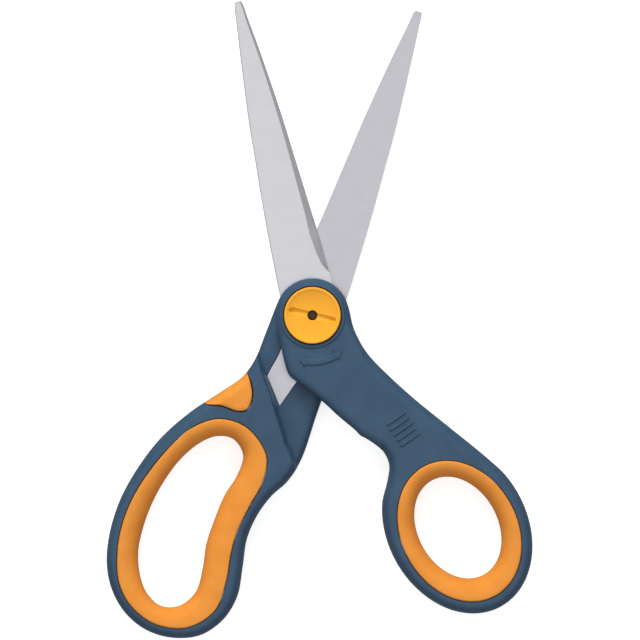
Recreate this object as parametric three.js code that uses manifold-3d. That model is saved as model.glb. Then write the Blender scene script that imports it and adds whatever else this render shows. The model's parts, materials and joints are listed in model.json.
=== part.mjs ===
// Office scissors, lying flat and partly open, built from their separate pieces.
//
// Millimetres, +Z up. The origin is on the pivot's axis, at the level of the surface they lie on.
// Each half, or member, is drawn closed: its blade points along +Y and its pivot is at the origin.
// A group then turns it about the pivot to its place in the open pair.

import * as THREE from "three";
import { mergeVertices } from "three/addons/utils/BufferGeometryUtils.js";
import Module from "manifold-3d";

const wasm = await Module();
wasm.setup();

// Driving dimensions

const DEGREE = Math.PI / 180;
const THUMB_SIDE_TURN = 13.1 * DEGREE; // upper member, anticlockwise from closed
const FINGER_SIDE_TURN = -19.0 * DEGREE; // lower member, clockwise from closed

const HANDLE_THICKNESS = 12;
const MEMBER_GAP = 0.3; // between the two members' mating faces
const LOWER_TOP = HANDLE_THICKNESS / 2 - MEMBER_GAP / 2;
const UPPER_BOTTOM = HANDLE_THICKNESS / 2 + MEMBER_GAP / 2;
const BEYOND = 5; // how far a cutter reaches past what it cuts
const FIT_GAP = 0.3; // between pieces that touch in the real object
const EDGE_ROUND = 2; // rounding of the handles' outer edges

const BOSS_RADIUS = 11.5;

const BLADE_THICKNESS = 2;
const TIP_THICKNESS = 1.4;
const TAPER_START = 35; // from here the blade thins towards its tip
const TIP_REACH = 97.8;
const EDGE_LAND = 0.15; // thickness left at the cutting edge
const SPINE_CHAMFER = 0.45;
const ANCHOR_HOLE_RADIUS = 1.6;

const BOLT_HEAD_RADIUS = 5.2;
const BOLT_NECK_WIDTH = 4.6;
const BOLT_SHOULDER_RADIUS = 2.4;
const BOLT_THREAD_RADIUS = 2;
const BOLT_HEAD_BOTTOM = 1.6;
const BOLT_HEAD_TOP = 3.55;
const BOLT_TOP = 10.9;

const CAP_RADIUS = 7;
const CAP_THICKNESS = 1.2;

const KNOB_RADIUS = 8.6;
const KNOB_BOTTOM = 9.3;
const KNOB_TOP = 12.8;
const KNOB_HOLE_RADIUS = 1.5;
const DISH_DEPTH = 0.6;
const SLOT_WIDTH = 1.5;
const SLOT_DEPTH = 0.35; // below the bottom of the dish
const SLOT_INSET = 1.9; // from the knob's edge
const SLOT_TURN = -13.6 * DEGREE;

// Outlines, as hand-chosen points in each member's closed frame

const around = (count) => Array.from({ length: count }, (_, i) => i / count);

// Points along a curve that is given by its angle, from one angle to another.
function arcOf(curve, fromDegrees, toDegrees, count) {
  const step = (toDegrees - fromDegrees) / (count - 1);
  return Array.from({ length: count }, (_, i) => curve((fromDegrees + i * step) * DEGREE));
}

const bossCircle = (angle) => [BOSS_RADIUS * Math.cos(angle), BOSS_RADIUS * Math.sin(angle)];

// An ellipse whose long axis leans from +Y; the angle runs anticlockwise from its short axis.
function leaningEllipse({ centre, short, long, lean }) {
  return (angle) => {
    const along = short * Math.cos(angle);
    const up = long * Math.sin(angle);
    return [
      centre[0] + along * Math.cos(lean) - up * Math.sin(lean),
      centre[1] + along * Math.sin(lean) + up * Math.cos(lean),
    ];
  };
}

const THUMB_LEAN = 16 * DEGREE;
const thumbRim = leaningEllipse({ centre: [28.2, -72.7], short: 21.25, long: 27.35, lean: THUMB_LEAN });
const thumbSeam = leaningEllipse({ centre: [28.5, -73.6], short: 17.5, long: 22.3, lean: THUMB_LEAN });
const thumbHole = leaningEllipse({ centre: [28.4, -72.7], short: 12.1, long: 16.3, lean: THUMB_LEAN });

// The edge of the thumb arm that meets the finger handle's step when the scissors close.
const STOP_EDGE = [
  [11.5, -45],
  [7.7, -40.3],
  [5.9, -38.7],
  [4.8, -36.9],
  [0.7, -31.4],
  [-3, -26],
  [-9.3, -18.4],
];

const THUMB_OUTLINE = [
  ...arcOf(bossCircle, 170, 0, 9),
  [11.35, -6.8],
  [13.5, -14.6],
  [18.6, -23.3],
  [24.9, -32.3],
  [31.9, -41.3],
  ...arcOf(thumbRim, 30, -220, 17),
  [11, -53.6],
  [12.4, -49.4],
  ...STOP_EDGE,
  [-11, -15.9],
  [-11.4, -7],
];

const FINGER_OUTLINE = [
  ...arcOf(bossCircle, 170, 0, 9),
  [11.25, -12],
  [11.05, -28],
  [11.05, -42.6],
  [9.3, -50],
  [6.1, -55.9],
  [4, -62.5],
  [3.3, -70.5],
  [4.9, -79.3],
  [6.2, -88],
  [4.5, -96],
  [-0.6, -102.8],
  [-8.5, -106.3],
  [-16.7, -106.6],
  [-24.3, -103.8],
  [-30.4, -98.5],
  [-34.5, -91.5],
  [-36.7, -82.5],
  [-37, -72],
  [-35.2, -61.5],
  [-31.5, -50.3],
  [-25.6, -39.9],
  [-18.5, -30.6],
  [-14.1, -24.6],
  [-12.2, -18.5],
  [-11.7, -9],
];

// The finger loop's hole and the grip's outer seam, point matched to point.
const FINGER_HOLE_AND_SEAM = [
  [[-8, -69], [-0.2, -69]],
  [[-7.5, -60.5], [0.9, -60.2]],
  [[-5.8, -53.2], [2.2, -52.3]],
  [[-6.1, -46.9], [0.6, -44.6]],
  [[-10.5, -43.3], [-7.8, -38.5]],
  [[-15.5, -44.1], [-16.5, -38.7]],
  [[-19.6, -47.6], [-23.4, -44]],
  [[-23.5, -54], [-28.1, -52.3]],
  [[-26, -61.5], [-31.5, -61.5]],
  [[-27.4, -69.5], [-33.4, -70]],
  [[-27.6, -77.5], [-33.8, -78]],
  [[-26.7, -84.7], [-32.6, -86.2]],
  [[-23.9, -91.4], [-29, -95.3]],
  [[-20, -96.1], [-23.2, -100.9]],
  [[-14.7, -98.3], [-14.5, -103.7]],
  [[-9.5, -96.4], [-5, -101.5]],
  [[-6.2, -90.8], [1.2, -94]],
  [[-6.6, -83], [1.5, -84.3]],
  [[-7.9, -76], [0.2, -76.3]],
];

const PAD_OUTLINE = [
  [-22.5, -35.6],
  [-16.8, -34.9],
  [-11.6, -34.8],
  [-9.2, -33.3],
  [-9, -29.4],
  [-10.3, -26.2],
  [-12.6, -23.3],
  [-19, -20],
  [-28, -29],
];

// Each row is a place along the blade: y, spine side x, cutting side x, bevel width.
const BLADE_SECTIONS = [
  [TIP_REACH, -1.5, 0.5, 0.4],
  [96.9, -1.75, 0.85, 0.6],
  [92, -2.3, 1.4, 0.75],
  [84, -3.2, 2.4, 0.85],
  [75, -4.15, 3.4, 0.95],
  [60, -5.6, 4.8, 1.2],
  [50, -6.2, 5.5, 1.4],
  [40, -6.9, 6.2, 1.75],
  [30, -7.45, 6.9, 2.1],
  [24, -7.7, 7.35, 2.6],
  [18, -7.9, 7.7, 2.2],
  [14.5, -8.05, 7.85, 1.6],
  [12.2, -8.1, 7.9, 0.4],
  [11.6, -8.1, 7.95, 0],
  [5, -8.1, 8, 0],
];
// The blade's tail inside each handle: y, spine side x, cutting side x.
const THUMB_TANG = [
  [-2, -7.4, 7.9],
  [-10, -5.2, 8.6],
  [-20, -0.6, 11.4],
  [-29, 4.4, 14.6],
  [-32, 6.6, 15.4],
  [-33.2, 8.4, 14.6],
];
const FINGER_TANG = [
  [-2, -7.5, 7.6],
  [-12.5, -4.7, 5.7],
  [-21, -1.9, 6.9],
  [-29, 0.4, 7.4],
  [-34.4, 2.2, 7.7],
  [-35.6, 3.4, 6.8],
];
const THUMB_ANCHORS = [[2.5, -15.5], [8.5, -26]];
const FINGER_ANCHORS = [[-4.3, -31]];

// Materials

const finish = (color, roughness, metalness = 0) =>
  new THREE.MeshStandardMaterial({ color, roughness, metalness });
const BLADE_STEEL = () => finish(0xc3c2c2, 0.38, 0.9);
const HANDLE_PLASTIC = () => finish(0x43576c, 0.5);
const GRIP_RUBBER = () => finish(0xe8963a, 0.65);
const KNOB_PLASTIC = () => finish(0xf3ab33, 0.35);
const BRIGHT_STEEL = () => finish(0xb9babc, 0.3, 1);

// Solids

// A closed three.js geometry as a solid that can be cut and joined.
function solidFrom(geometry) {
  const bare = geometry.index ? geometry.toNonIndexed() : geometry.clone();
  bare.deleteAttribute("normal");
  bare.deleteAttribute("uv");
  const merged = mergeVertices(bare, 1e-4);
  const triVerts = new Uint32Array(merged.index.array);
  const vertProperties = merged.attributes.position.array;
  return new wasm.Manifold(new wasm.Mesh({ numProp: 3, vertProperties, triVerts }));
}

function meshFrom(name, solid, material) {
  const { vertProperties, triVerts } = solid.getMesh();
  const geometry = new THREE.BufferGeometry();
  geometry.setAttribute("position", new THREE.BufferAttribute(vertProperties, 3));
  geometry.setIndex(new THREE.BufferAttribute(triVerts, 1));
  geometry.computeVertexNormals();
  const mesh = new THREE.Mesh(geometry, material);
  mesh.name = name;
  return mesh;
}

// A smooth closed line through the points, with a few straight steps between each two.
function smoothLoop(points, steps = 4) {
  const corners = points.map(([x, y]) => new THREE.Vector3(x, y, 0));
  const curve = new THREE.CatmullRomCurve3(corners, true, "centripetal");
  return curve.getPoints(points.length * steps).slice(0, -1).map(({ x, y }) => [x, y]);
}

// The closed line moved outwards by a distance, or inwards by a negative one.
function grown(line, distance) {
  const turnsLeft = THREE.ShapeUtils.area(line.map(([x, y]) => new THREE.Vector2(x, y))) > 0;
  const side = turnsLeft ? 1 : -1;
  return line.map(([x, y], i) => {
    const before = line.at(i - 1);
    const after = line[(i + 1) % line.length];
    const run = [after[0] - before[0], after[1] - before[1]];
    const scale = (side * distance) / Math.hypot(...run);
    return [x + run[1] * scale, y - run[0] * scale];
  });
}

const shapeOf = (line) => new THREE.Shape(line.map(([x, y]) => new THREE.Vector2(x, y)));

// The outline pulled straight up from one height to another.
function prism(line, low, high) {
  const geometry = new THREE.ExtrudeGeometry(shapeOf(line), { depth: high - low, bevelEnabled: false });
  return solidFrom(geometry.translate(0, 0, low));
}

// The same, with its edges rounded inside the outline.
function roundedSlab(line, low, high, radius) {
  const geometry = new THREE.ExtrudeGeometry(shapeOf(line), {
    depth: high - low - 2 * radius,
    bevelThickness: radius,
    bevelSize: radius,
    bevelOffset: -radius,
    bevelSegments: 3,
  });
  return solidFrom(geometry.translate(0, 0, low + radius));
}

// An upright cylinder about (x, y), or a regular prism when it has few sides.
function post(radius, low, high, [x, y] = [0, 0], sides = 32) {
  const geometry = new THREE.CylinderGeometry(radius, radius, high - low, sides);
  geometry.rotateX(Math.PI / 2).translate(x, y, (low + high) / 2);
  return solidFrom(geometry);
}

// A profile of (radius, height) points turned about the pivot's axis.
function turned(profile, segments = 40) {
  const points = profile.map(([radius, height]) => new THREE.Vector2(radius, height));
  return solidFrom(new THREE.LatheGeometry(points, segments).rotateX(Math.PI / 2));
}

const ring = (outer, inner, low, high) =>
  turned([[inner, low], [outer, low], [outer, high], [inner, high], [inner, low]], 32);

// A skin over a row of closed sections that have equally many points. Its ends are either
// capped or, when it closes on itself, joined.
function skin(sections, closesOnItself) {
  const perSection = sections[0].length;
  const corner = (i, j) => sections[i % sections.length][j % perSection];
  const triangles = [];
  const spans = closesOnItself ? sections.length : sections.length - 1;
  for (let i = 0; i < spans; i++) {
    for (let j = 0; j < perSection; j++) {
      const [a, b, c, d] = [corner(i, j), corner(i, j + 1), corner(i + 1, j + 1), corner(i + 1, j)];
      triangles.push(a, b, c, a, c, d);
    }
  }
  if (!closesOnItself) {
    const last = sections.length - 1;
    for (let j = 1; j < perSection - 1; j++) {
      triangles.push(corner(0, 0), corner(0, j + 1), corner(0, j));
      triangles.push(corner(last, 0), corner(last, j), corner(last, j + 1));
    }
  }
  const geometry = new THREE.BufferGeometry().setFromPoints(triangles.map((p) => new THREE.Vector3(...p)));
  return solidFrom(geometry);
}

// Blades

// A blade lying on its flat mating face, at height 0, with its outer face up.
function bladeBlank(tang) {
  const rows = [...BLADE_SECTIONS, ...tang.map((row) => [...row, 0])];
  const sections = rows.map(([y, spine, edge, bevel]) => {
    const towardsTip = Math.max(0, (y - TAPER_START) / (TIP_REACH - TAPER_START));
    const top = THREE.MathUtils.lerp(BLADE_THICKNESS, TIP_THICKNESS, towardsTip);
    return [
      [spine, y, 0],
      [edge, y, 0],
      [edge, y, EDGE_LAND],
      [edge - bevel, y, top],
      [spine + SPINE_CHAMFER, y, top],
      [spine, y, top - SPINE_CHAMFER],
    ];
  });
  return skin(sections, false);
}

// The space a blade's tail takes in its handle, from one height to another, less the plastic
// posts that fill its anchor holes.
function tangPocket(tang, anchors, mirrored, low, high) {
  const rows = [...BLADE_SECTIONS.slice(-4), ...tang];
  const spineSide = rows.map(([y, spine]) => [spine, y]);
  const cuttingSide = rows.map(([y, , edge]) => [edge, y]).reverse();
  const line = [...spineSide, ...cuttingSide].map(([x, y]) => [mirrored ? -x : x, y]);
  const posts = anchors.map((place) => post(ANCHOR_HOLE_RADIUS - FIT_GAP, low, high, place, 16));
  return posts.reduce((pocket, one) => pocket.subtract(one), prism(grown(line, FIT_GAP), low, high));
}

function drilled(blade, holes, low, high) {
  const tools = holes.map((place) => post(ANCHOR_HOLE_RADIUS, low, high, place, 16));
  return tools.reduce((rest, tool) => rest.subtract(tool), blade);
}

function upperBlade() {
  const pivotHole = post(BOLT_SHOULDER_RADIUS + FIT_GAP, 0, UPPER_BOTTOM + BEYOND);
  const blade = bladeBlank(THUMB_TANG).translate(0, 0, UPPER_BOTTOM).subtract(pivotHole);
  return drilled(blade, THUMB_ANCHORS, 0, UPPER_BOTTOM + BEYOND);
}

// The lower blade is the same forging turned over, with a square hole that holds the bolt.
function lowerBlade() {
  const squareHole = squarePost(BOLT_NECK_WIDTH + 2 * FIT_GAP, 0, HANDLE_THICKNESS);
  const turnedOver = bladeBlank(FINGER_TANG).rotate([0, 180, 0]).translate(0, 0, LOWER_TOP);
  return drilled(turnedOver.subtract(squareHole), FINGER_ANCHORS, 0, HANDLE_THICKNESS);
}

function squarePost(width, low, high) {
  const geometry = new THREE.BoxGeometry(width, width, high - low);
  return solidFrom(geometry.translate(0, 0, (low + high) / 2));
}

// Handles

const fingerOutline = smoothLoop(FINGER_OUTLINE);
const thumbOutline = smoothLoop(THUMB_OUTLINE);
const fingerHole = smoothLoop(FINGER_HOLE_AND_SEAM.map(([hole]) => hole));
const fingerSeam = smoothLoop(FINGER_HOLE_AND_SEAM.map(([, seam]) => seam));
const thumbTurns = around(72).map((turn) => turn * 2 * Math.PI);

const UPPER_POCKET_ROOF = UPPER_BOTTOM + BLADE_THICKNESS + FIT_GAP;
const LOWER_POCKET_FLOOR = LOWER_TOP - BLADE_THICKNESS - FIT_GAP;

const fingerBody = () => roundedSlab(fingerOutline, 0, HANDLE_THICKNESS, EDGE_ROUND);

// Full thickness round the loop, half thickness from the step to the pivot.
function fingerHandle() {
  const stepClearance = [-0.4, -0.35];
  const step = STOP_EDGE.map(([x, y]) => [x + stepClearance[0], y + stepClearance[1]]);
  const aboveMidPlane = [[20, -54.5], ...step, [-22, -3.2], [-22, 20], [20, 20]];
  return fingerBody()
    .subtract(prism(aboveMidPlane, LOWER_TOP, HANDLE_THICKNESS + BEYOND))
    .subtract(prism(grown(fingerSeam, FIT_GAP), -BEYOND, HANDLE_THICKNESS + BEYOND))
    .subtract(prism(grown(smoothLoop(PAD_OUTLINE), FIT_GAP), -BEYOND, HANDLE_THICKNESS + BEYOND))
    .subtract(tangPocket(FINGER_TANG, FINGER_ANCHORS, true, LOWER_POCKET_FLOOR, LOWER_TOP + MEMBER_GAP))
    .subtract(post(BOLT_HEAD_RADIUS + FIT_GAP, 0, HANDLE_THICKNESS))
    .subtract(post(CAP_RADIUS + FIT_GAP, -BEYOND, CAP_THICKNESS + FIT_GAP));
}

const KNOB_SEAT_RADIUS = KNOB_RADIUS + 0.4;
const KNOB_SEAT_FLOOR = KNOB_BOTTOM - FIT_GAP;
const WASHER_BORE_RADIUS = 6.2;

// Full thickness beyond the finger handle's edge, half thickness where it laps over it.
function thumbHandle() {
  const fingerHandleEdge = 11.9;
  const lap = [[-20, 20], [fingerHandleEdge, 20], [fingerHandleEdge, -48], [-20, -48]];
  const seam = thumbTurns.map(thumbSeam);
  return roundedSlab(thumbOutline, 0, HANDLE_THICKNESS, EDGE_ROUND)
    .subtract(prism(lap, -BEYOND, UPPER_BOTTOM))
    .subtract(prism(grown(seam, FIT_GAP), -BEYOND, HANDLE_THICKNESS + BEYOND))
    .subtract(tangPocket(THUMB_TANG, THUMB_ANCHORS, false, UPPER_BOTTOM - MEMBER_GAP, UPPER_POCKET_ROOF))
    .subtract(post(WASHER_BORE_RADIUS, UPPER_BOTTOM, HANDLE_THICKNESS))
    .subtract(post(KNOB_SEAT_RADIUS, KNOB_SEAT_FLOOR, HANDLE_THICKNESS + BEYOND, [0, 0], 48));
}

// A soft lining between a seam line and a hole line: half an ellipse across, fullest at the hole.
function loopGrip(seam, hole) {
  const middle = HANDLE_THICKNESS / 2;
  const halfHeight = middle - FIT_GAP;
  const stations = 9;
  const sections = seam.map((outer, i) => {
    const inner = hole[i];
    return Array.from({ length: stations }, (_, k) => {
      const angle = (k / (stations - 1) - 0.5) * Math.PI;
      const towardsHole = Math.cos(angle);
      const [x, y] = [0, 1].map((n) => THREE.MathUtils.lerp(outer[n], inner[n], towardsHole));
      return [x, y, middle + halfHeight * Math.sin(angle)];
    });
  });
  return skin(sections, true);
}

const thumbRingGrip = () => loopGrip(thumbTurns.map(thumbSeam), thumbTurns.map(thumbHole));
const fingerLoopGrip = () => loopGrip(fingerSeam, fingerHole);
const fingerRestPad = () =>
  fingerBody().intersect(prism(smoothLoop(PAD_OUTLINE), -BEYOND, HANDLE_THICKNESS + BEYOND));

// Pivot stack, from the underside up

const backCap = () =>
  turned([[0, 0], [CAP_RADIUS - 0.5, 0], [CAP_RADIUS, 0.5], [CAP_RADIUS, CAP_THICKNESS], [0, CAP_THICKNESS]]);

function pivotBolt() {
  const neckTop = LOWER_TOP + MEMBER_GAP / 2;
  const shoulderTop = UPPER_BOTTOM + BLADE_THICKNESS;
  return post(BOLT_HEAD_RADIUS, BOLT_HEAD_BOTTOM, BOLT_HEAD_TOP)
    .add(squarePost(BOLT_NECK_WIDTH, BOLT_HEAD_BOTTOM, neckTop))
    .add(post(BOLT_SHOULDER_RADIUS, BOLT_HEAD_BOTTOM, shoulderTop))
    .add(post(BOLT_THREAD_RADIUS, BOLT_HEAD_BOTTOM, BOLT_TOP));
}

const FLAT_WASHER = { outer: 5.8, inner: BOLT_SHOULDER_RADIUS, low: 8.45, high: 8.95 };
const SPRING_WASHER = { outer: 5.4, inner: BOLT_SHOULDER_RADIUS, low: 9.2, high: 9.5 };
const NUT = { acrossFlats: 7, bore: BOLT_THREAD_RADIUS + FIT_GAP, low: 9.75, high: 11 };
const hexRadius = (acrossFlats) => acrossFlats / Math.sqrt(3);

const flatWasher = () => ring(FLAT_WASHER.outer, FLAT_WASHER.inner, FLAT_WASHER.low, FLAT_WASHER.high);
const springWasher = () =>
  ring(SPRING_WASHER.outer, SPRING_WASHER.inner, SPRING_WASHER.low, SPRING_WASHER.high);

const adjusterNut = () =>
  post(hexRadius(NUT.acrossFlats), NUT.low, NUT.high, [0, 0], 6).subtract(
    post(NUT.bore, 0, HANDLE_THICKNESS),
  );

// A dished disc with a coin slot, which holds the nut in a six-sided pocket under it.
function tensionKnob() {
  const dishFloor = KNOB_TOP - DISH_DEPTH;
  const nutRoof = NUT.high + FIT_GAP;
  const washerWell = SPRING_WASHER.high + 0.25;
  const body = turned([
    [0, KNOB_BOTTOM],
    [KNOB_RADIUS, KNOB_BOTTOM],
    [KNOB_RADIUS, KNOB_TOP - 0.4],
    [KNOB_RADIUS - 0.35, KNOB_TOP],
    [KNOB_RADIUS - 0.8, KNOB_TOP],
    [KNOB_RADIUS - 1.3, KNOB_TOP - 0.35],
    [4.5, dishFloor + 0.08],
    [0, dishFloor],
  ], 48);
  const slotHeight = 2;
  const slot = new THREE.BoxGeometry(2 * (KNOB_RADIUS - SLOT_INSET), SLOT_WIDTH, slotHeight);
  slot.translate(0, 0, dishFloor - SLOT_DEPTH + slotHeight / 2).rotateZ(SLOT_TURN);
  return body
    .subtract(post(SPRING_WASHER.outer + FIT_GAP, 0, washerWell))
    .subtract(post(hexRadius(NUT.acrossFlats + 2 * FIT_GAP), 0, nutRoof, [0, 0], 6))
    .subtract(solidFrom(slot))
    .subtract(post(KNOB_HOLE_RADIUS, 0, KNOB_TOP + BEYOND, [0, 0], 20));
}

// Assembly

const fingerMember = new THREE.Group();
fingerMember.rotation.z = FINGER_SIDE_TURN;
fingerMember.add(
  meshFrom("lower_blade", lowerBlade(), BLADE_STEEL()),
  meshFrom("finger_handle", fingerHandle(), HANDLE_PLASTIC()),
  meshFrom("finger_loop_grip", fingerLoopGrip(), GRIP_RUBBER()),
  meshFrom("finger_rest_pad", fingerRestPad(), GRIP_RUBBER()),
  meshFrom("pivot_bolt", pivotBolt(), BRIGHT_STEEL()),
  meshFrom("back_cap", backCap(), KNOB_PLASTIC()),
);

const thumbMember = new THREE.Group();
thumbMember.rotation.z = THUMB_SIDE_TURN;
thumbMember.add(
  meshFrom("upper_blade", upperBlade(), BLADE_STEEL()),
  meshFrom("thumb_handle", thumbHandle(), HANDLE_PLASTIC()),
  meshFrom("thumb_ring_grip", thumbRingGrip(), GRIP_RUBBER()),
);

const pivotStack = new THREE.Group();
pivotStack.add(
  meshFrom("flat_washer", flatWasher(), BRIGHT_STEEL()),
  meshFrom("spring_washer", springWasher(), BRIGHT_STEEL()),
  meshFrom("adjuster_nut", adjusterNut(), BRIGHT_STEEL()),
  meshFrom("tension_knob", tensionKnob(), KNOB_PLASTIC()),
);

const scissors = new THREE.Group();
scissors.add(fingerMember, thumbMember, pivotStack);

export default scissors;
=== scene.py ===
"""Office scissors, partly open and lying flat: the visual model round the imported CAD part.

The pieces are drawn in millimetres until a mesh is made; the floor, light and camera are in metres.
Each half, or member, is drawn closed, with its blade along +Y and its pivot at the origin, and its
finished meshes are turned to their place about the pivot.
"""

import json
import math

import bmesh
import bpy
import numpy as np
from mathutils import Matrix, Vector, geometry, kdtree


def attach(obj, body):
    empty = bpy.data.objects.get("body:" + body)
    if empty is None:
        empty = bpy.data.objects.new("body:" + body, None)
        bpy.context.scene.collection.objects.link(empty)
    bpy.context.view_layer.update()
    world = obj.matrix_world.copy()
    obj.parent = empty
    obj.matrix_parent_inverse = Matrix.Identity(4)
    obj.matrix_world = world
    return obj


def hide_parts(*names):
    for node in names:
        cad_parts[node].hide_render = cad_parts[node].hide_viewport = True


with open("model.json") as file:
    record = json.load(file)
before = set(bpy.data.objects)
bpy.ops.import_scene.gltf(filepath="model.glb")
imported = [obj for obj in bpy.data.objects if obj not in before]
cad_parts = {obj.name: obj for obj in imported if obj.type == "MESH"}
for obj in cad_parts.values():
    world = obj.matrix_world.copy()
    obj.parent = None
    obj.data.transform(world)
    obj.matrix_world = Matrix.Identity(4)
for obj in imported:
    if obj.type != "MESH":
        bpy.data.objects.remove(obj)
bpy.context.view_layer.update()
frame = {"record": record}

# Driving dimensions

MM = 0.001
THUMB_TURN = 13.1  # degrees, upper member, anticlockwise from closed
FINGER_TURN = -19.0  # lower member

THICKNESS = 12.0  # of the handles
LOWER_TOP = 5.85  # flat face of the lower blade
UPPER_BOTTOM = 6.15  # flat face of the upper blade
LAP_TOP = 5.95  # the finger handle where the thumb handle passes over it
POCKET_GAP = 0.1  # between a blade's tail and the plastic round it
SEAM_GAP = 0.06  # between hard plastic and rubber
BOSS_RADIUS = 11.2
BLADE_THICKNESS = 2.0
TIP_THICKNESS = 1.4
TAPER_START = 35.0  # from here the blade thins towards its tip
TIP_REACH = 97.8
EDGE_LAND = 0.15  # thickness left at the cutting edge
BEVEL_SLOPE = 0.8  # the steepest that the ground bevel falls
BEVEL_START = 11.7  # how far from the pivot the line above the bevel starts
HONED_WIDTH = 0.12  # of the steep strip that sharpens the edge
HONED_START = 13.0  # the strip and the hollow grow to full size from here
HONED_GROWTH = 4.0
HOLLOW_INSET = 0.9  # between the rim and the hollow ground part of the flat face
HOLLOW_DEPTH = 0.05
SPINE_ROUND = 0.4
SPINE_ROUND_END = 96.0

HEAD_HOLE = 5.5  # radius in the finger handle, round the bolt's head
WASHER_HOLE = 6.2  # radius in the thumb handle, round the washers
CAP_RECESS_RADIUS = 7.15
CAP_RECESS_DEPTH = 1.5  # from the underside
SEAT_RADIUS = 8.74  # of the thumb handle's recess that the knob turns in
SEAT_FLOOR = 9.0
KNOB_RADIUS = 8.6
KNOB_BOTTOM = 9.3
FINGER_POCKET_FLOOR = 3.7  # under the lower blade
THUMB_POCKET_CEILING = 8.25  # over the upper blade
POCKET_REACH = 16.0  # up the blade, past the end of the plastic
STEP_GAP = [0.4, 0.35]  # between the thumb arm and the finger handle's step when closed

# Roundings: reach, power and steps
RIM_ROUND = (3.0, 2.2, 9)  # the handles' outer edges
SHARP_ROUND = (0.22, 4, 4)
CRISP_ROUND = (0.12, 4, 3)
SEAT_ROUND = (0.25, 3, 4)
PAD_ROUND = (0.6, 3, 5)
KNOB_ROUND = (0.3, 3, 5)
KNOB_HOLE_ROUND = (0.2, 3, 4)
SLOT_ROUND = (0.85, 1.4, 5)
BLADE_ROUND = (0.04, 2, 1)
HOLLOW_ROUND = (1.6, 1, 1)
LAP_ROUND = (0.8, 1.5, 5)  # the step where the thumb handle passes over
WALL_ROUND = (1.2, 1.5, 7)  # the sloping wall where the finger handle steps down
RELIEF_ROUND = (0.4, 2, 4)  # marks in relief

RELIEF = 0.4  # height of the marks and of the collar
COLLAR_RADIUS = 10.0  # of the raised ring round the knob

SPACING = 0.6  # along the lines that a mesh follows
FILL = 1.4  # between the points that fill a flat area
FINE = 0.4  # along small lines
TOUCHING = 0.002  # closer to a line than this counts as on it
WELD = 1e-7  # metres, between points that are the same
EDGE_CLEARANCE = 0.3  # between an edge and the points that fill a plate
SHARP = 38  # degrees, the least turn between faces that shows as an edge

# Outlines, as points given in each member's closed frame

STOP_EDGE = [[11.5, -45], [7.7, -40.3], [5.9, -38.7], [4.8, -36.9], [0.7, -31.4], [-3, -26], [-9.3, -18.4]]
THUMB_ARM = [[11.35, -6.8], [13.5, -14.6], [18.6, -23.3], [24.9, -32.3], [31.9, -41.3]]
THUMB_THROAT = [[11, -53.6], [12.4, -49.4], *STOP_EDGE, [-11, -15.9], [-11.4, -7]]
THUMB_LEAN = 16.0  # degrees, of the thumb ring's ellipses
# Ellipses: centre, short and long half axes
THUMB_RIM = ([28.2, -72.7], 21.25, 27.35)
THUMB_SEAM = ([28.5, -73.6], 17.5, 22.3)
THUMB_HOLE = ([28.4, -72.7], 12.1, 16.3)

FINGER_BODY = [
    [11.25, -12], [11.05, -28], [11.05, -42.6], [9.3, -50], [6.1, -55.9], [4, -62.5], [3.3, -70.5],
    [4.9, -79.3], [6.2, -88], [4.5, -96], [-0.6, -102.8], [-8.5, -106.3], [-16.7, -106.6],
    [-24.3, -103.8], [-30.4, -98.5], [-34.5, -91.5], [-36.7, -82.5], [-37, -72], [-35.2, -61.5],
    [-31.5, -50.3], [-25.6, -39.9], [-18.5, -30.6], [-14.1, -24.6], [-12.2, -18.5], [-11.7, -9],
]
FINGER_HOLE = [
    [-8, -69], [-7.5, -60.5], [-5.8, -53.2], [-6.1, -46.9], [-10.5, -43.3], [-15.5, -44.1],
    [-19.6, -47.6], [-23.5, -54], [-26, -61.5], [-27.4, -69.5], [-27.6, -77.5], [-26.7, -84.7],
    [-23.9, -91.4], [-20, -96.1], [-14.7, -98.3], [-9.5, -96.4], [-6.2, -90.8], [-6.6, -83], [-7.9, -76],
]
FINGER_SEAM = [
    [-0.2, -69], [0.9, -60.2], [2.2, -52.3], [0.6, -44.6], [-7.8, -38.5], [-16.5, -38.7],
    [-23.4, -44], [-28.1, -52.3], [-31.5, -61.5], [-33.4, -70], [-33.8, -78], [-32.6, -86.2],
    [-29, -95.3], [-23.2, -100.9], [-14.5, -103.7], [-5, -101.5], [1.2, -94], [1.5, -84.3], [0.2, -76.3],
]
PAD_OUTLINE = [
    [-22.5, -35.6], [-16.8, -34.9], [-11.6, -34.8], [-9.2, -33.3], [-9, -29.4], [-10.3, -26.2],
    [-12.6, -23.3], [-19, -20], [-28, -29],
]

# Along the blade: y, spine side x, cutting side x, bevel width
BLADE_ROWS = [
    [TIP_REACH, -1.5, 0.5, 0.4], [96.9, -1.75, 0.85, 0.6], [92, -2.3, 1.4, 0.75], [84, -3.2, 2.4, 0.85],
    [75, -4.15, 3.4, 0.95], [60, -5.6, 4.8, 1.2], [50, -6.2, 5.5, 1.4], [40, -6.9, 6.2, 1.75],
    [30, -7.45, 6.9, 2.1], [24, -7.7, 7.35, 2.6], [18, -7.9, 7.7, 2.2], [14.5, -8.05, 7.85, 1.6],
    [12.2, -8.1, 7.9, 0.4], [11.6, -8.1, 7.95, 0], [5, -8.1, 8, 0],
]
THUMB_TANG = [
    [-2, -7.4, 7.9, 0], [-10, -5.2, 8.6, 0], [-20, -0.6, 11.4, 0], [-29, 4.4, 14.6, 0],
    [-32, 6.6, 15.4, 0], [-33.2, 8.4, 14.6, 0],
]
FINGER_TANG = [
    [-2, -7.5, 7.6, 0], [-12.5, -4.7, 5.7, 0], [-21, -1.9, 6.9, 0], [-29, 0.4, 7.4, 0],
    [-34.4, 2.2, 7.7, 0], [-35.6, 3.4, 6.8, 0],
]
WINDOW_CUT = [[-7.0, -21.8], [-0.5, -29.1]]  # beyond this line plastic hides the lower blade's tail
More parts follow.
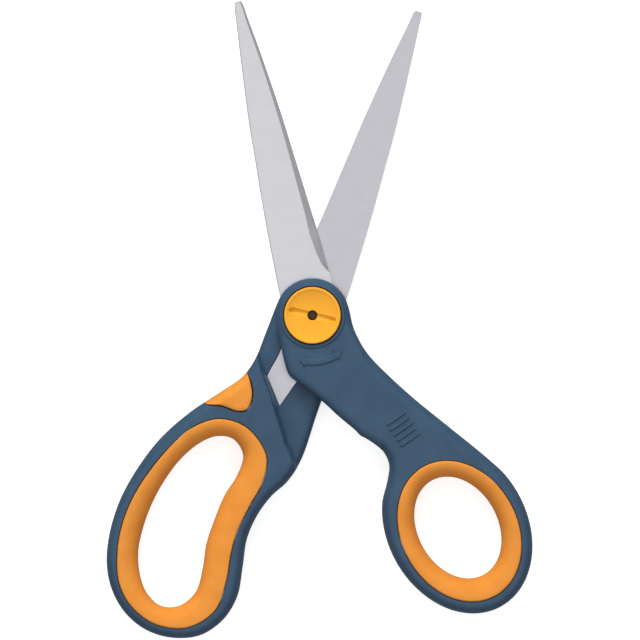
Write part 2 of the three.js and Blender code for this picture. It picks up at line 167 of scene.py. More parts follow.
THUMB_ANCHORS = [[2.5, -15.5], [8.5, -26]]  # holes in a blade's tail that hold it in the plastic
FINGER_ANCHORS = [[-4.3, -31]]
ANCHOR_RADIUS = 1.6
RIB_CENTRE = [18.9, -39.6]
RIB_TURN = 21.4  # degrees
RIB_PITCH = 1.9


# Lines


def turned_by(points, degrees):
    """Points turned anticlockwise about the pivot."""
    cos, sin = math.cos(math.radians(degrees)), math.sin(math.radians(degrees))
    return np.asarray(points, float) @ np.array([[cos, sin], [-sin, cos]])


def arc(radius, start, end, centre=(0, 0), spacing=SPACING):
    """Points on a circle from one angle to another, in degrees."""
    count = max(3, math.ceil(abs(math.radians(end - start)) * radius / spacing))
    angles = np.radians(np.linspace(start, end, count + 1))
    return np.array(centre) + radius * np.column_stack([np.cos(angles), np.sin(angles)])


def circle(radius, centre=(0, 0), spacing=SPACING):
    return arc(radius, 0, 360, centre, spacing)[:-1]


def ellipse(centre, short, long, start=0, end=360, count=160):
    """Points of a thumb ring ellipse, whose long axis leans from +Y."""
    angles = np.radians(np.linspace(start, end, count, endpoint=end - start < 360))
    flat = np.column_stack([short * np.cos(angles), long * np.sin(angles)])
    return turned_by(flat, THUMB_LEAN) + centre


def straight(points, spacing=SPACING):
    """A closed line with straight sides, in short steps."""
    corners = np.asarray(points, float)
    sides = []
    for start, end in zip(corners, np.roll(corners, -1, axis=0)):
        count = math.ceil(math.dist(start, end) / spacing)
        sides.append(start + (end - start) * np.arange(count)[:, None] / count)
    return np.concatenate(sides)


def capsule(half_length, half_width, spacing=0.25):
    """The outline of a bar along X with round ends, less its straight stretches."""
    return np.concatenate([
        arc(half_width, -90, 90, (half_length, 0), spacing),
        arc(half_width, 90, 270, (-half_length, 0), spacing),
    ])


def smooth(points, closed=True):
    """A centripetal Catmull-Rom line through the points, in short steps."""
    knots = np.asarray(points, float)
    if closed:
        knots = np.concatenate([knots[-1:], knots, knots[:2]])
    else:
        knots = np.concatenate([2 * knots[:1] - knots[1:2], knots, 2 * knots[-1:] - knots[-2:-1]])
    line = []
    for before, start, end, after in zip(knots, knots[1:], knots[2:], knots[3:]):
        gaps = [math.sqrt(math.dist(*pair)) for pair in ((before, start), (start, end), (end, after))]
        run = (end - start) / gaps[1]
        leaving = (start - before) / gaps[0] - (end - before) / (gaps[0] + gaps[1]) + run
        arriving = run - (after - start) / (gaps[1] + gaps[2]) + (after - end) / gaps[2]
        count = math.ceil(math.dist(start, end) / SPACING)
        t = np.arange(count)[:, None] / count
        line.append(
            (2 * t**3 - 3 * t**2 + 1) * start
            + (t**3 - 2 * t**2 + t) * leaving * gaps[1]
            + (3 * t**2 - 2 * t**3) * end
            + (t**3 - t**2) * arriving * gaps[1]
        )
    if not closed:
        line.append(knots[-2:-1])
    return np.concatenate(line)


def anticlockwise(loop):
    onward = np.roll(loop, -1, axis=0)
    area = (loop[:, 0] * onward[:, 1] - onward[:, 0] * loop[:, 1]).sum()
    return loop if area > 0 else loop[::-1]


def depth_inside(points, loop):
    """Each point's distance from a closed line, positive inside it."""
    ends = np.roll(loop, -1, axis=0)
    run = ends - loop
    depths = []
    at_once = 500
    for part in np.array_split(points, max(1, len(points) // at_once)):
        offset = part[:, None] - loop
        along = np.clip((offset * run).sum(2) / (run**2).sum(1), 0, 1)
        nearest = np.sqrt(((offset - along[..., None] * run) ** 2).sum(2).min(1))
        height = part[:, None, 1]
        spans = (height >= loop[:, 1]) != (height >= ends[:, 1])
        beside = (offset[..., 0] * run[:, 1] < offset[..., 1] * run[:, 0]) == (run[:, 1] > 0)
        inside = (spans & beside).sum(1) % 2 == 1
        depths.append(np.where(inside, nearest, -nearest))
    return np.concatenate(depths)


class Border:
    """A closed line where a plate ends or steps, with its solid side rounded off over a reach."""

    def __init__(self, loop, solid_inside, rounding=SHARP_ROUND):
        self.loop = anticlockwise(loop)
        self.side = 1 if solid_inside else -1
        self.reach, self.power, self.steps = rounding

    def depth(self, points):
        return self.side * depth_inside(points, self.loop)

    def moved(self, distance):
        """The line moved into the solid, less the points that come too near its other stretches."""
        run = np.roll(self.loop, -1, axis=0) - self.loop
        normal = np.column_stack([-run[:, 1], run[:, 0]]) / np.hypot(*run.T)[:, None]
        before = np.roll(normal, 1, axis=0)
        mitre = (normal + before) / (1 + (normal * before).sum(1))[:, None]
        line = self.loop + self.side * distance * mitre
        nearly_all = 0.98
        return line[self.depth(line) > nearly_all * distance]

    def lines(self):
        turns = np.linspace(0, math.pi / 2, self.steps + 1)[1:]
        distances = self.reach * (1 - np.cos(turns) ** (2 / self.power))
        return [self.loop, *(self.moved(distance) for distance in distances)]

    def fullness(self, points):
        """0 on the line and outside the solid, rising steeply and levelling off to 1 at the reach."""
        depth = self.depth(points)
        left = 1 - np.clip(np.where(depth < TOUCHING, 0, depth) / self.reach, 0, 1)
        return (1 - left**self.power) ** (1 / self.power)

    def step(self, points, near, far):
        """Heights that change from near to far where the line is crossed into the solid."""
        return near + (far - near) * self.fullness(points)


# Meshes


def body_of(node):
    bodies = frame["record"]["behaviour"]["bodies"]
    return next(body for body, nodes in bodies.items() if node in nodes)


def add_piece(node, material, points, faces, turn=0, sharp=SHARP):
    """A finished piece that stands for a CAD node and rides on its body."""
    points = np.asarray(points, float)
    points = np.column_stack([turned_by(points[:, :2], turn), points[:, 2]]) * MM
    mesh = bpy.data.meshes.new(node + "_visual")
    mesh.from_pydata(points.tolist(), [], faces)
    mesh.materials.append(material)
    work = bmesh.new()
    work.from_mesh(mesh)
    bmesh.ops.remove_doubles(work, verts=work.verts, dist=WELD)
    bmesh.ops.recalc_face_normals(work, faces=work.faces)
    work.to_mesh(mesh)
    work.free()
    mesh.shade_smooth()
    mesh.set_sharp_from_angle(angle=math.radians(sharp))
    piece = bpy.data.objects.new(mesh.name, mesh)
    bpy.context.scene.collection.objects.link(piece)
    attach(piece, body_of(node))
    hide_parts(node)


def filling(lines, borders, spacing):
    """Points in a triangular pattern, where they are in the solid and clear of all the lines."""
    low, high = borders[0].loop.min(0), borders[0].loop.max(0)
    rows = np.arange(low[1], high[1], spacing * math.sqrt(3) / 2)
    columns = np.arange(low[0], high[0], spacing)
    points = np.array([[x + spacing / 2 * (i % 2), y] for i, y in enumerate(rows) for x in columns])
    for border in borders:
        points = points[border.depth(points) > EDGE_CLEARANCE]
    placed = np.concatenate(lines)
    tree = kdtree.KDTree(len(placed))
    for i, (x, y) in enumerate(placed):
        tree.insert((x, y, 0), i)
    tree.balance()
    clear = 0.6 * spacing
    return np.array([p for p in points if tree.find((*p, 0))[2] > clear])


def without_ears(triangles):
    """Leaves out triangles with three corners on the outline. Returns the rest and the outline."""
    while True:
        sides = np.sort(triangles[:, [0, 1, 1, 2, 2, 0]].reshape(-1, 2), axis=1)
        found, uses = np.unique(sides, axis=0, return_counts=True)
        outline = np.unique(found[uses == 1])
        ears = np.isin(triangles, outline).all(axis=1)
        if not ears.any():
            return triangles, outline
        triangles = triangles[~ears]


def plate(
    node, material, borders, top, bottom, turn=0, features=(), creases=(), spacing=FILL, sharp=SHARP
):
    """A piece between two surfaces that meet at its borders.

    borders round its edges off, features are the borders of steps in its surfaces, creases are
    open lines that its mesh follows, and top and bottom give a surface's height at each point.
    """
    lines = [line for border in [*borders, *features] for line in border.lines()]
    filler = filling([*lines, *creases], borders, spacing)
    coords, edges = [], []
    for line, closed in [(line, True) for line in lines] + [(line, False) for line in creases]:
        first, count = len(coords), len(line)
        coords += [Vector(p) for p in line]
        edges += [(first + i, first + (i + 1) % count) for i in range(count if closed else count - 1)]
    coords += [Vector(p) for p in filler]
    every_triangle, tolerance = 0, 1e-5
    found = geometry.delaunay_2d_cdt(coords, edges, [], every_triangle, tolerance)
    flat = np.array([tuple(p) for p in found[0]])
    triangles = np.array([tuple(face) for face in found[2]])
    centres = flat[triangles].mean(axis=1)
    for border in borders:
        solid = border.depth(centres) > 0
        triangles, centres = triangles[solid], centres[solid]
    triangles, outline = without_ears(triangles)

    used, triangles = np.unique(triangles, return_inverse=True)
    triangles, flat = triangles.reshape(-1, 3), flat[used]
    on_outline = np.isin(used, outline)
    full = np.min([border.fullness(flat) for border in borders], axis=0)
    full[on_outline] = 0
    high, low = top(flat), bottom(flat)
    middle = (high + low) / 2
    upper = np.column_stack([flat, middle + (high - middle) * full])
    lower = np.column_stack([flat, middle - (middle - low) * full])[~on_outline]
    below = np.arange(len(flat))
    below[~on_outline] = len(flat) + np.arange(len(lower))
    faces = np.concatenate([triangles, below[triangles][:, ::-1]])
    add_piece(node, material, np.concatenate([upper, lower]), faces.tolist(), turn, sharp)


def skin(sections, closes):
    """Faces over rows of equally many points, each row a closed line, and the rows closed or not."""
    rows, count = len(sections), len(sections[0])
    faces = []
    for i in range(rows if closes else rows - 1):
        for j in range(count):
            onward, beside = (i + 1) % rows, (j + 1) % count
            faces.append((i * count + j, i * count + beside, onward * count + beside, onward * count + j))
    return np.concatenate(sections), faces


# Materials


def srgb(red, green, blue):
    def linear(value):
        share = value / 255
        return share / 12.92 if share <= 0.04045 else ((share + 0.055) / 1.055) ** 2.4

    return (linear(red), linear(green), linear(blue), 1)


class Finish:
    """A procedural material in the making. Its noises are measured in millimetres."""

    def __init__(self, name, **settings):
        self.material = bpy.data.materials.new(name + "_look")
        self.material["slot"] = name
        self.material.use_nodes = True
        self.tree = self.material.node_tree
        self.shader = self.tree.nodes["Principled BSDF"]
        self.coordinates = self.tree.nodes.new("ShaderNodeTexCoord").outputs["Object"]
        self.normal = None
        for socket, value in settings.items():
            self.shader.inputs[socket.replace("_", " ")].default_value = value

    def node(self, kind, inputs, **attributes):
        made = self.tree.nodes.new("ShaderNode" + kind)
        for attribute, value in attributes.items():
            setattr(made, attribute, value)
        for socket, value in inputs.items():
            if isinstance(value, bpy.types.NodeSocket):
                self.tree.links.new(value, made.inputs[socket])
            else:
                made.inputs[socket].default_value = value
        return made

    def noise(self, size, detail=2, turn=0, stretch=1):
        """Mottling of a grain size, drawn out along X of a member turned by so many degrees."""
        back = (0, 0, -math.radians(turn))
        turned = self.node("Mapping", {"Vector": self.coordinates, "Rotation": back})
        # A mapping scales before it turns, so the stretch is a second one.
        drawn = self.node("Mapping", {"Vector": turned.outputs[0], "Scale": (1 / stretch, 1, 1)})
        texture = self.node(
            "TexNoise", {"Vector": drawn.outputs[0], "Scale": 1 / (size * MM), "Detail": detail}
        )
        return texture.outputs["Fac"]

    def ramp(self, factor, low, high):
        """A noise, which lies mostly between 0.3 and 0.7, spread from low to high."""
        found = self.node("MapRange", {"Value": factor, "From Min": 0.3, "From Max": 0.7})
        found.inputs["To Min"].default_value = low
        found.inputs["To Max"].default_value = high
        return found.outputs["Result"]

    def colour(self, factor, first, second):
        mixed = self.node("Mix", {"Factor": self.ramp(factor, 0, 1)}, data_type="RGBA")
        before, after = (socket for socket in mixed.inputs if socket.type == "RGBA")
        before.default_value, after.default_value = first, second
        result = next(socket for socket in mixed.outputs if socket.type == "RGBA")
        self.tree.links.new(result, self.shader.inputs["Base Color"])

    def roughness(self, factor, low, high):
        self.tree.links.new(self.ramp(factor, low, high), self.shader.inputs["Roughness"])

    def bump(self, height, depth):
        """Relief of a depth in millimetres, on top of any relief before it."""
        inputs = {"Height": height, "Distance": depth * MM, "Strength": 1.0}
        if self.normal:
            inputs["Normal"] = self.normal
        self.normal = self.node("Bump", inputs).outputs["Normal"]
        self.tree.links.new(self.normal, self.shader.inputs["Normal"])


def ground_steel(name, turn, light, dark):
    """Satin steel with fine grinding lines across the blade."""
    steel = Finish(name, Metallic=1.0)
    lines = steel.noise(size=0.35, detail=3, turn=turn, stretch=14)
    steel.colour(lines, srgb(*dark), srgb(*light))
    steel.roughness(steel.noise(size=6, detail=3), 0.3, 0.38)
    steel.bump(lines, depth=0.004)
    steel.bump(steel.noise(size=0.12), depth=0.002)
    return steel.material


def moulded(name, light, dark, roughness, grain, **settings):
    """Hard plastic with a fine eroded texture and slow changes of tone."""
    plastic = Finish(name, **settings)
    plastic.colour(plastic.noise(size=7, detail=4), srgb(*dark), srgb(*light))
    plastic.roughness(plastic.noise(size=0.8, detail=3), roughness - 0.05, roughness + 0.06)
    plastic.bump(plastic.noise(size=0.25, detail=3), grain)
    plastic.bump(plastic.noise(size=4, detail=1), depth=0.05)
    return plastic.material


handle_plastic = moulded(
    "handle_plastic", (52, 78, 101), (46, 71, 95), 0.45, 0.012, Specular_IOR_Level=0.35
)
grip_rubber = moulded(
    "grip_rubber", (221, 141, 55), (212, 132, 47), 0.6, 0.018, Specular_IOR_Level=0.3
)
knob_plastic = moulded(
    "knob_plastic", (234, 163, 34), (228, 157, 28), 0.32, 0.004, Specular_IOR_Level=0.4
)
upper_steel = ground_steel("blade_steel", THUMB_TURN, (229, 229, 232), (224, 224, 228))
lower_steel = ground_steel("blade_steel", FINGER_TURN, (214, 213, 219), (209, 208, 215))
bright_steel = ground_steel("pivot_steel", 0, (200, 201, 204), (190, 191, 195))
# Painted shade and a painted reflection: the bolt is coloured dark warm brown. This stands for its end
# lying in shade at the bottom of the knob's hole, with the orange knob reflected round it.
painted_shade_steel = ground_steel("pivot_steel", 0, (92, 74, 60), (70, 56, 48))


# Handles


def boss():
    """The round of a handle beyond its pivot, clockwise, as points for a smooth line."""
    return arc(BOSS_RADIUS, 170, 0, spacing=4)


def thumb_outline():
    ring = ellipse(*THUMB_RIM, start=30, end=-220, count=17)
    return smooth([*boss(), *THUMB_ARM, *ring, *THUMB_THROAT])


def finger_outline():
    return smooth([*boss(), *FINGER_BODY])


def blade_sides(tang):
    """The spine and cutting sides of a blade, from its tip to the end of its tail."""
    rows = np.array([*BLADE_ROWS, *tang], float)
    return smooth(rows[:, [1, 0]], closed=False), smooth(rows[:, [2, 0]], closed=False)


def blade_outline(tang, mirrored):
    spine, cutting = blade_sides(tang)
    loop = np.concatenate([spine, cutting[::-1]])
    return loop * [-1, 1] if mirrored else loop


FINGER_EDGE = Border(finger_outline(), True, RIM_ROUND)
THUMB_EDGE = Border(thumb_outline(), True, RIM_ROUND)
FINGER_BLADE = blade_outline(FINGER_TANG, True)
THUMB_BLADE = blade_outline(THUMB_TANG, False)


def pocket(loop):
    """The border of the space that a blade's tail takes in its handle."""
    near_pivot = loop[loop[:, 1] < POCKET_REACH]
    around_it = Border(near_pivot, False, CRISP_ROUND)
    return Border(around_it.moved(POCKET_GAP), False, CRISP_ROUND)


def finger_handle():
    step_line = np.array([[20, -54.5], *STOP_EDGE, [-22, -3.2]]) - STEP_GAP
    far_corners = [[-60, -3.2], [-60, -120], [20, -120]]  # clear of the handle
    raised = Border(straight([*far_corners, *step_line]), True, WALL_ROUND)
    (start_x, start_y), (end_x, end_y) = WINDOW_CUT
    before_cut = (FINGER_BLADE - [start_x, start_y]) @ [start_y - end_y, end_x - start_x] > 0
    window = pocket(FINGER_BLADE[before_cut])
    recess = Border(circle(CAP_RECESS_RADIUS), False, CRISP_ROUND)

    def top(points):
        return window.step(points, FINGER_POCKET_FLOOR, raised.step(points, LAP_TOP, THICKNESS))

    def bottom(points):
        return recess.step(points, CAP_RECESS_DEPTH, 0)

    borders = [
        FINGER_EDGE,
        Border(Border(smooth(FINGER_SEAM), False).moved(SEAM_GAP), False),
        Border(Border(smooth(PAD_OUTLINE), False).moved(SEAM_GAP), False),
        Border(circle(HEAD_HOLE), False, CRISP_ROUND),
    ]
    plate(
        "finger_handle", handle_plastic, borders, top, bottom, FINGER_TURN, [raised, window, recess]
    )


def tension_mark():
    """A curved arrow with two heads, below the knob, that shows the ways to turn it."""
    start, end, head = -120.0, -63.0, 9.0  # degrees
    inner, outer = 13.1, 15.1  # radii of the shaft's sides
    head_inner, middle, head_outer = 12.2, 14.1, 16.0

    def arrow_head(shaft_end, point):
        """The corners of a head, from its inner side to its outer side."""
        corners = [(head_inner, shaft_end), (middle, point), (head_outer, shaft_end)]
        return [radius * np.array([math.cos(angle), math.sin(angle)]) for radius, angle in corners]

    near, far, first, last = (math.radians(angle) for angle in (start + head, end - head, start, end))
    points = [
        *arc(inner, start + head, end - head), *arrow_head(far, last),
        *arc(outer, end - head, start + head), *arrow_head(near, first)[::-1],
    ]
    return straight(points, FINE)


def rib(index):
    """The outline of one of the short ribs across the thumb handle, counted from the middle one."""
    bar = capsule(half_length=3.1, half_width=0.5) + [0, index * RIB_PITCH]
    return straight(turned_by(bar, RIB_TURN) + RIB_CENTRE, FINE)


def thumb_handle():
    edge = 11.9  # of the finger handle, as it passes under
    passing_under = [[-20, 20], [edge, 20], [edge, -40], [10.9, -46], [-20, -46]]
    lap = Border(straight(passing_under), False, LAP_ROUND)
    tail = pocket(THUMB_BLADE)
    posts = [Border(circle(ANCHOR_RADIUS - POCKET_GAP, place, FINE), True) for place in THUMB_ANCHORS]
    seat = Border(circle(SEAT_RADIUS), False, SEAT_ROUND)
    collar = Border(circle(COLLAR_RADIUS), True, RELIEF_ROUND)
    marks = [Border(tension_mark(), True, RELIEF_ROUND)]
    marks += [Border(rib(index), True, RELIEF_ROUND) for index in range(-2, 3)]

    def top(points):
        raised = np.max([mark.fullness(points) for mark in [collar, *marks]], axis=0)
        return seat.step(points, SEAT_FLOOR, THICKNESS - RELIEF + RELIEF * raised)

    def bottom(points):
        height = tail.step(points, THUMB_POCKET_CEILING, lap.step(points, UPPER_BOTTOM, 0))
        for post in posts:
            height = post.step(points, height, UPPER_BOTTOM)
        return height

    borders = [
        THUMB_EDGE,
        Border(Border(ellipse(*THUMB_SEAM), False).moved(SEAM_GAP), False),
        Border(circle(WASHER_HOLE), False, CRISP_ROUND),
    ]
    features = [lap, tail, *posts, seat, collar, *marks]
    plate("thumb_handle", handle_plastic, borders, top, bottom, THUMB_TURN, features)


def finger_rest_pad():
    pad = Border(smooth(PAD_OUTLINE), True, PAD_ROUND)

    def top(points):
        return np.full(len(points), THICKNESS)

    def bottom(points):
        return np.zeros(len(points))

    plate(
        "finger_rest_pad", grip_rubber, [FINGER_EDGE, pad], top, bottom, FINGER_TURN, spacing=1.0
    )


def lining(node, seam, hole, turn):
    """A soft lining round a loop: a lip along its seam, then a full curve down to the hole."""
    middle = THICKNESS / 2
    half = middle - 0.1  # it stands a little below the plastic on both sides
    lip = 0.5  # width of the rounded edge along the seam
    fullness = 0.9  # below 1, the curve down to the hole bulges more than an ellipse
    centre = hole.mean(axis=0)
    angles = np.linspace(0, 2 * math.pi, 280, endpoint=False)

    def reach(loop):
        """The loop's distance from the centre at each angle."""
        out = loop - centre
        bearing = np.arctan2(out[:, 1], out[:, 0]) % (2 * math.pi)
        order = np.argsort(bearing)
        return np.interp(angles, bearing[order], np.hypot(*out[order].T), period=2 * math.pi)

    outer, inner = reach(seam), reach(hole)
    rows = [(outer, height) for height in np.linspace(0, half - lip, 4)]
    for a in np.radians([15, 30, 45, 60, 75, 90]):
        rows.append((outer - lip * (1 - math.cos(a)), half - lip + lip * math.sin(a)))
    for a in np.radians(np.linspace(0, 90, 19)[1:-1]):
        width = outer - lip - inner
        rows.append((outer - lip - width * math.sin(a), half * math.cos(a) ** fullness))
    rows.append((inner, 0))
    mirrored = [(radius, -height) for radius, height in rows[-2:0:-1]]
    directions = np.column_stack([np.cos(angles), np.sin(angles)])
    sections = [
        np.column_stack([centre + radius[:, None] * directions, np.full(len(angles), middle + height)])
        for radius, height in rows + mirrored
    ]
    add_piece(node, grip_rubber, *skin(sections, True), turn, sharp=50)


# Blades


def blade(node, tang, mirrored, pivot_hole, anchors, turn, material):
    """A blade with a ground bevel on its outer face and a hollow ground flat face."""
    spine, cutting = blade_sides(tang)
    rows = np.array(BLADE_ROWS)[::-1]
    rim = Border(blade_outline(tang, mirrored), True, BLADE_ROUND)
    holes = [pivot_hole, *(circle(ANCHOR_RADIUS, place) for place in anchors)]
    hole_borders = [Border(hole, False, CRISP_ROUND) for hole in holes]
    tip_margin = 0.1  # keeps the creases off the blunt end
    least_width = 0.1  # keeps the slope finite where the bevel runs out
    before_tip = cutting[:, 1] < TIP_REACH - tip_margin
    ground = cutting[(cutting[:, 1] > BEVEL_START) & before_tip]
    widths = np.interp(ground[:, 1], rows[:, 0], rows[:, 3])
    bevel_line = ground - np.column_stack([widths, np.zeros(len(widths))])
    side = -1 if mirrored else 1

    back = spine[spine[:, 1] < SPINE_ROUND_END]
    spine_lines = [back + [share * SPINE_ROUND, 0] for share in (0.15, 0.45, 1)]
    honed_line = ground[ground[:, 1] > HONED_START] - [HONED_WIDTH, 0]

    def growth(y):
        """0 beside the pivot, 1 along the ground part of the blade."""
        return np.clip((y - HONED_START) / HONED_GROWTH, 0, 1)

    def thickness(points):
        x, y = points[:, 0] * side, points[:, 1]
        towards_tip = np.clip((y - TAPER_START) / (TIP_REACH - TAPER_START), 0, 1)
        full = BLADE_THICKNESS + (TIP_THICKNESS - BLADE_THICKNESS) * towards_tip
        width = np.interp(y, rows[:, 0], rows[:, 3])
        from_edge = np.interp(y, cutting[::-1, 1], cutting[::-1, 0]) - x
        from_spine = x - np.interp(y, spine[::-1, 1], spine[::-1, 0])
        slope = np.minimum(BEVEL_SLOPE, (full - EDGE_LAND) / np.maximum(width, least_width))
        bevelled = full - slope * np.maximum(width - from_edge, 0)
        left = 1 - np.clip(from_spine / SPINE_ROUND, 0, 1)
        rounded = full - SPINE_ROUND * (1 - np.sqrt(1 - left**2))
        honed = np.clip(from_edge / HONED_WIDTH, 0, 1)
        sharpness = growth(y) * (y < TIP_REACH - tip_margin / 2)
        blunt = np.minimum(bevelled, rounded)
        return blunt - (blunt - EDGE_LAND) * (1 - honed) * sharpness * (from_edge < HONED_WIDTH)

    hollow = Border(rim.moved(HOLLOW_INSET), True, HOLLOW_ROUND)

    def hollowed(points):
        return HOLLOW_DEPTH * hollow.fullness(points) * growth(points[:, 1])

    def top(points):
        return LOWER_TOP - hollowed(points) if mirrored else UPPER_BOTTOM + thickness(points)

    def bottom(points):
        return LOWER_TOP - thickness(points) if mirrored else UPPER_BOTTOM + hollowed(points)

    borders = [rim, *hole_borders]
    creases = [line * [side, 1] for line in (bevel_line, honed_line, *spine_lines)]
    plate(node, material, borders, top, bottom, turn, [hollow], creases, spacing=1.3, sharp=18)


def upper_blade():
    round_hole = circle(2.7)
    blade("upper_blade", THUMB_TANG, False, round_hole, THUMB_ANCHORS, THUMB_TURN, upper_steel)


def lower_blade():
    half = 2.6  # of the square hole that the bolt's neck fits
    square_hole = straight([[half, -half], [half, half], [-half, half], [-half, -half]])
    blade("lower_blade", FINGER_TANG, True, square_hole, FINGER_ANCHORS, FINGER_TURN, lower_steel)


# Pivot stack


def polygon_radius(across_flats, sides):
    """The radius of a regular polygon at each angle."""

    def radius(angle, height):
        from_flat = (angle + math.pi / sides) % (2 * math.pi / sides) - math.pi / sides
        return across_flats / 2 / np.cos(from_flat)

    return radius


def threaded(radius, pitch=0.7, depth=0.22):
    """The radius of a screw thread at each angle and height."""

    def at(angle, height):
        phase = (height / pitch - angle / (2 * math.pi)) % 1
        return radius - depth * np.abs(2 * phase - 1)

    return at


def turned_piece(node, material, profile, closes=False, wave=0, turn=0, count=96):
    """A piece from rows of (radius, height) round the pivot's axis.

    A radius may be a function of the angle and height, and wave lifts the rows three times round.
    """
    angles = np.linspace(0, 2 * math.pi, count, endpoint=False)
    directions = np.column_stack([np.cos(angles), np.sin(angles)])
    sections = []
    for radius, height in profile:
        radii = radius(angles, height) if callable(radius) else np.full(count, float(radius))
        heights = height + wave * np.sin(3 * angles)
        sections.append(np.column_stack([radii[:, None] * directions, heights]))
    add_piece(node, material, *skin(sections, closes), turn)


def pivot_bolt():
    """A round head, a square neck, a round shoulder and a threaded end with a dimple."""
    neck = polygon_radius(4.6, 4)
    thread = threaded(2.0)
    shank = [(thread, height) for height in np.arange(8.2, 10.65, 0.07)]
    profile = [
        (0, 1.6), (4.9, 1.6), (5.2, 1.9), (5.2, 3.3), (4.95, 3.55), (3.3, 3.55), (neck, 3.6),
        (neck, 5.95), (2.4, 6.0), (2.4, 8.1), (2.0, 8.15), *shank, (1.75, 10.7), (1.5, 10.88),
        (1.15, 10.9), (1.05, 10.8), (1.0, 9.7), (0, 9.5),
    ]
    turned_piece("pivot_bolt", painted_shade_steel, profile, turn=FINGER_TURN)


def back_cap():
    """A round cap, a little hollow underneath, that rests on a flat ring."""
    profile = [
        (0, 0.3), (2.6, 0.3), (4.6, 0.22), (5.2, 0.05), (5.4, 0), (6.3, 0), (6.7, 0.12), (6.95, 0.4),
        (7, 0.6), (7, 1.1), (6.9, 1.2), (0, 1.2),
    ]
    turned_piece("back_cap", knob_plastic, profile)


def ring_profile(inner, outer, low, high, ease=0.08):
    return [
        (inner, low + ease), (inner + ease, low), (outer - ease, low), (outer, low + ease),
        (outer, high - ease), (outer - ease, high), (inner + ease, high), (inner, high - ease),
    ]


def flat_washer():
    profile = ring_profile(inner=2.5, outer=5.8, low=8.45, high=8.95)
    turned_piece("flat_washer", bright_steel, profile, closes=True)


def spring_washer():
    profile = ring_profile(inner=2.6, outer=5.4, low=9.2, high=9.5, ease=0.05)
    turned_piece("spring_washer", bright_steel, profile, closes=True, wave=0.12)


def adjuster_nut():
    hexagon = polygon_radius(7, 6)
    chamfer_radius = 3.75

    def chamfered(angle, height):
        return np.minimum(hexagon(angle, height), chamfer_radius)

    profile = [
        (2.35, 9.75), (3.5, 9.75), (chamfered, 9.95), (hexagon, 10.1), (hexagon, 10.65),
        (chamfered, 10.8), (3.5, 11), (2.35, 11), (2.15, 10.85), (2.15, 9.9),
    ]
    turned_piece("adjuster_nut", bright_steel, profile, closes=True)


def tension_knob():
    """A dished knob with a coin slot and a centre hole, hollow underneath for nut and washer."""
    slot_turn = -13.6  # degrees
    slot_floor = 11.3
    least_depth = 0.2
    slot_outline = turned_by(capsule(half_length=6.3, half_width=1.0), slot_turn)
    slot = Border(straight(slot_outline, FINE), True, SLOT_ROUND)
    # Steps as long as the radius make seven flat sides, where the nut inside has six.
    well_radius = 7.6 / math.sqrt(3)
    well_ceiling = 11.1
    well_corners = arc(well_radius, 30, 390, spacing=well_radius)[:-1]
    nut_well = Border(straight(well_corners, 0.5), False, CRISP_ROUND)
    washer_well = Border(circle(5.7), False, CRISP_ROUND)
    washer_ceiling = 9.75
    dish = [
        (2.4, 11.8), (3.3, 11.82), (4.4, 11.9), (5.5, 12.05), (6.6, 12.28), (7.25, 12.47),
        (7.5, 12.55), (7.75, 12.72), (8.0, 12.8), (8.35, 12.8),
    ]
    dish_radii, dish_heights = zip(*dish)
    rings = [np.concatenate([circle(r, spacing=0.45), [[r, 0]]]) for r in dish_radii[::-1]]

    def top(points):
        dished = np.interp(np.hypot(*points.T), dish_radii, dish_heights)
        return slot.step(points, dished, np.minimum(dished - least_depth, slot_floor))

    def bottom(points):
        around_nut = washer_well.step(points, washer_ceiling, KNOB_BOTTOM)
        return nut_well.step(points, well_ceiling, around_nut)

    borders = [
        Border(circle(KNOB_RADIUS, spacing=FINE), True, KNOB_ROUND),
        Border(circle(1.5, spacing=0.25), False, KNOB_HOLE_ROUND),
    ]
    features = [slot, nut_well, washer_well]
    plate("tension_knob", knob_plastic, borders, top, bottom, 0, features, rings, spacing=0.9)


# Stage


def paper_floor():
    """A white floor that glows, so that it stays white in the shade of the handles."""
    half, drop = 4.0, 2e-5  # the drop keeps it clear of the flat undersides
    mesh = bpy.data.meshes.new("floor")
    corners = [(-half, -half, -drop), (half, -half, -drop), (half, half, -drop), (-half, half, -drop)]
    mesh.from_pydata(corners, [], [(0, 1, 2, 3)])
    floor = bpy.data.objects.new("floor", mesh)
    bpy.context.scene.collection.objects.link(floor)
    paper = Finish("floor_paper", Roughness=0.9, Specular_IOR_Level=0.0, Emission_Strength=0.72)
    paper.colour(paper.noise(size=60), (0.58, 0.58, 0.58, 1), (0.62, 0.62, 0.62, 1))
    paper.shader.inputs["Emission Color"].default_value = (1, 1, 1, 1)
    mesh.materials.append(paper.material)
    # Its glow must not light the rims from below, nor whiten the steel that faces down to it.
    floor.visible_diffuse = False
    floor.visible_glossy = False


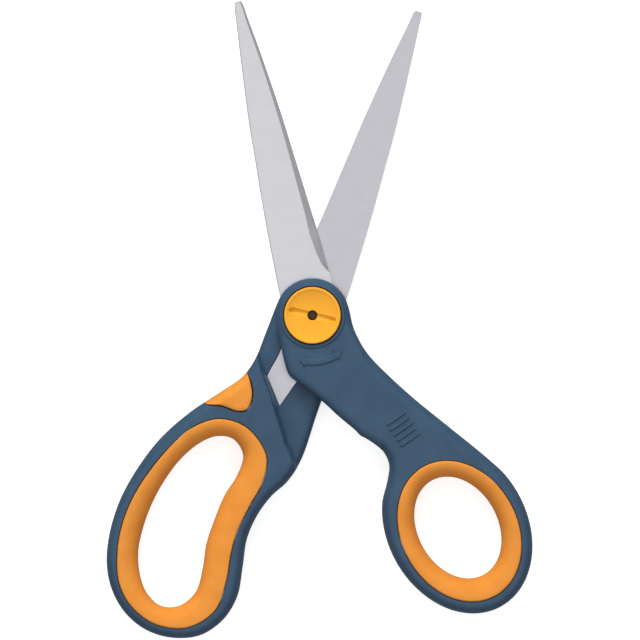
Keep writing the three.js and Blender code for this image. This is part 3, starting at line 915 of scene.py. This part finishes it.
def sky():
    """An even sky that darkens from overhead to the horizon."""
    horizon, overhead, overhead_from = 0.29, 0.88, 0.95
    world = bpy.data.worlds.new("studio")
    bpy.context.scene.world = world
    world.use_nodes = True
    tree = world.node_tree
    background = tree.nodes["Background"]
    direction = tree.nodes.new("ShaderNodeTexCoord").outputs["Generated"]
    split = tree.nodes.new("ShaderNodeSeparateXYZ")
    tree.links.new(direction, split.inputs[0])
    brightness = tree.nodes.new("ShaderNodeMapRange")
    tree.links.new(split.outputs["Z"], brightness.inputs["Value"])
    brightness.inputs["From Min"].default_value = 0.0
    brightness.inputs["From Max"].default_value = overhead_from
    brightness.inputs["To Min"].default_value = horizon
    brightness.inputs["To Max"].default_value = overhead
    tree.links.new(brightness.outputs["Result"], background.inputs["Strength"])
    background.inputs["Color"].default_value = (0.985, 0.99, 1.0, 1)


def key_light():
    """A wide soft light beyond the blades' tips."""
    light = bpy.data.lights.new("key", "AREA")
    light.shape = "RECTANGLE"
    light.size, light.size_y = 0.9, 0.5
    light.energy = 14.5
    key = bpy.data.objects.new("key", light)
    key.location = (-0.14, 0.95, 0.62)
    key.rotation_euler = (-key.location).to_track_quat("-Z", "Y").to_euler()
    key.visible_glossy = False  # the steel mirrors the even sky, not this light
    bpy.context.scene.collection.objects.link(key)


def camera():
    """Looks straight down, with a set width in view at about the upper blade's height."""
    distance, width, subject_height = 1.2, 0.19392, 0.008
    middle_x, middle_y = 0.0023, -0.00139
    data = bpy.data.cameras.new("camera")
    data.sensor_width = 36
    data.lens = data.sensor_width * distance / width
    viewer = bpy.data.objects.new("camera", data)
    viewer.location = (middle_x, middle_y, distance + subject_height)
    bpy.context.scene.collection.objects.link(viewer)
    bpy.context.scene.camera = viewer


finger_handle()
thumb_handle()
finger_rest_pad()
lining("finger_loop_grip", smooth(FINGER_SEAM), smooth(FINGER_HOLE), FINGER_TURN)
lining("thumb_ring_grip", ellipse(*THUMB_SEAM), ellipse(*THUMB_HOLE), THUMB_TURN)
upper_blade()
lower_blade()
pivot_bolt()
back_cap()
flat_washer()
spring_washer()
adjuster_nut()
tension_knob()
paper_floor()
sky()
key_light()
camera()
bpy.context.scene.view_settings.view_transform = "Standard"
